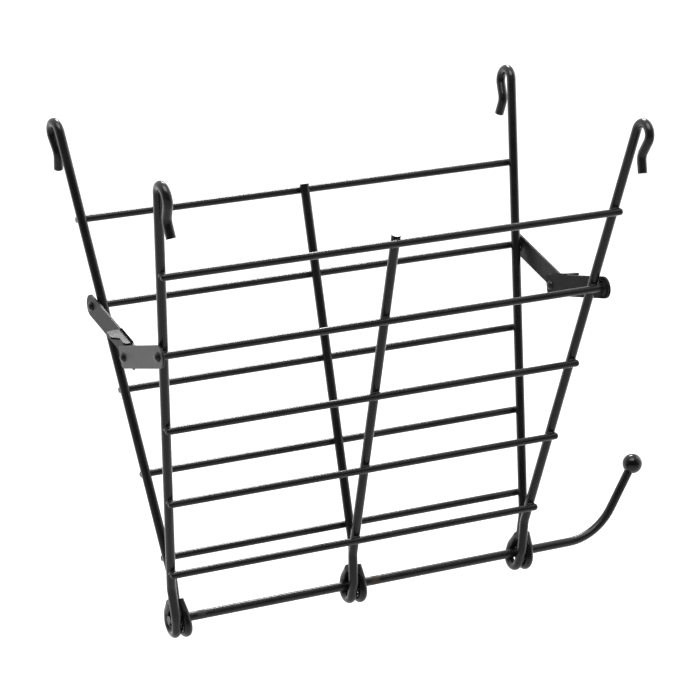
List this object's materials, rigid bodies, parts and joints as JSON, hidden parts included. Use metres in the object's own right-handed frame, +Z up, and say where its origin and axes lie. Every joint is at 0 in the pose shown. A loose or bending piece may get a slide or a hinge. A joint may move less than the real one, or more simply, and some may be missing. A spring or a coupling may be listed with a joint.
{
  "type": "folding hanging wire rack",
  "caption": "Two tapered wire sides with outward hooks, hinged on a ball-ended bottom rod and held open in a V by folding two-link stays.",
  "frame": {"origin": "centre of the crown bend of the front left hook, where the rail it hangs on lies", "axes": "+X along the bottom rod towards its ball-ended hook, +Y from the front side to the rear side, +Z up"},
  "size_m": [0.4314, 0.2262, 0.3586],
  "materials": {
    "wire_coat": "semi-gloss black powder coat on steel wire",
    "stay_coat": "semi-gloss black powder coat on flat steel strip, worn lighter on its edges",
    "rivet_coat": "black coat over rivets and washers, thin where the links rub",
    "ball": "high-gloss black"
  },
  "bodies": {
    "front_panel": {"front_left_upright": "wire_coat", "front_middle_upright": "wire_coat", "front_right_upright": "wire_coat", "front_cross_wire_1": "wire_coat", "front_cross_wire_2": "wire_coat", "front_cross_wire_3": "wire_coat", "front_cross_wire_4": "wire_coat", "front_cross_wire_5": "wire_coat", "front_left_washer": "rivet_coat", "front_right_washer": "rivet_coat", "hinge_rod": "wire_coat", "ball_end": "ball", "rod_weld": "wire_coat"},
    "rear_panel": {"rear_left_upright": "wire_coat", "rear_middle_upright": "wire_coat", "rear_right_upright": "wire_coat", "rear_cross_wire_1": "wire_coat", "rear_cross_wire_2": "wire_coat", "rear_cross_wire_3": "wire_coat", "rear_cross_wire_4": "wire_coat", "rear_cross_wire_5": "wire_coat", "rear_left_washer": "rivet_coat", "rear_right_washer": "rivet_coat"},
    "left_long_stay": {"left_long_link": "stay_coat", "left_middle_collar": "rivet_coat"},
    "left_short_stay": {"left_short_link": "stay_coat", "left_middle_rivet_head": "rivet_coat"},
    "right_long_stay": {"right_long_link": "stay_coat", "right_middle_collar": "rivet_coat"},
    "right_short_stay": {"right_short_link": "stay_coat", "right_middle_rivet_head": "rivet_coat"}
  },
  "joints": [
    {"name": "fold", "type": "hinge", "parent": "front_panel", "child": "rear_panel", "pos_m": [0.18362, 0.10152, -0.33348], "axis": [1, 0, 0], "range_deg": [0, 14]},
    {"name": "left_long_link_pivot", "type": "hinge", "parent": "rear_panel", "child": "left_long_stay", "pos_m": [0.01582, 0.16792, -0.11686], "axis": [1, 0, 0], "range_deg": [0, 27.95]},
    {"name": "left_short_link_pivot", "type": "hinge", "parent": "front_panel", "child": "left_short_stay", "pos_m": [0.00862, 0.03512, -0.11686], "axis": [1, 0, 0], "range_deg": [-40.95, 0]},
    {"name": "right_long_link_pivot", "type": "hinge", "parent": "front_panel", "child": "right_long_stay", "pos_m": [0.35142, 0.03512, -0.11686], "axis": [1, 0, 0], "range_deg": [-27.95, 0]},
    {"name": "right_short_link_pivot", "type": "hinge", "parent": "rear_panel", "child": "right_short_stay", "pos_m": [0.35862, 0.16792, -0.11686], "axis": [1, 0, 0], "range_deg": [0, 40.95]}
  ],
  "couplings": [
    {"joint": "left_long_link_pivot", "follows": "fold", "ratio": 1.9746},
    {"joint": "left_short_link_pivot", "follows": "fold", "ratio": -2.9035},
    {"joint": "right_long_link_pivot", "follows": "fold", "ratio": -1.9746},
    {"joint": "right_short_link_pivot", "follows": "fold", "ratio": 2.9035}
  ]
}
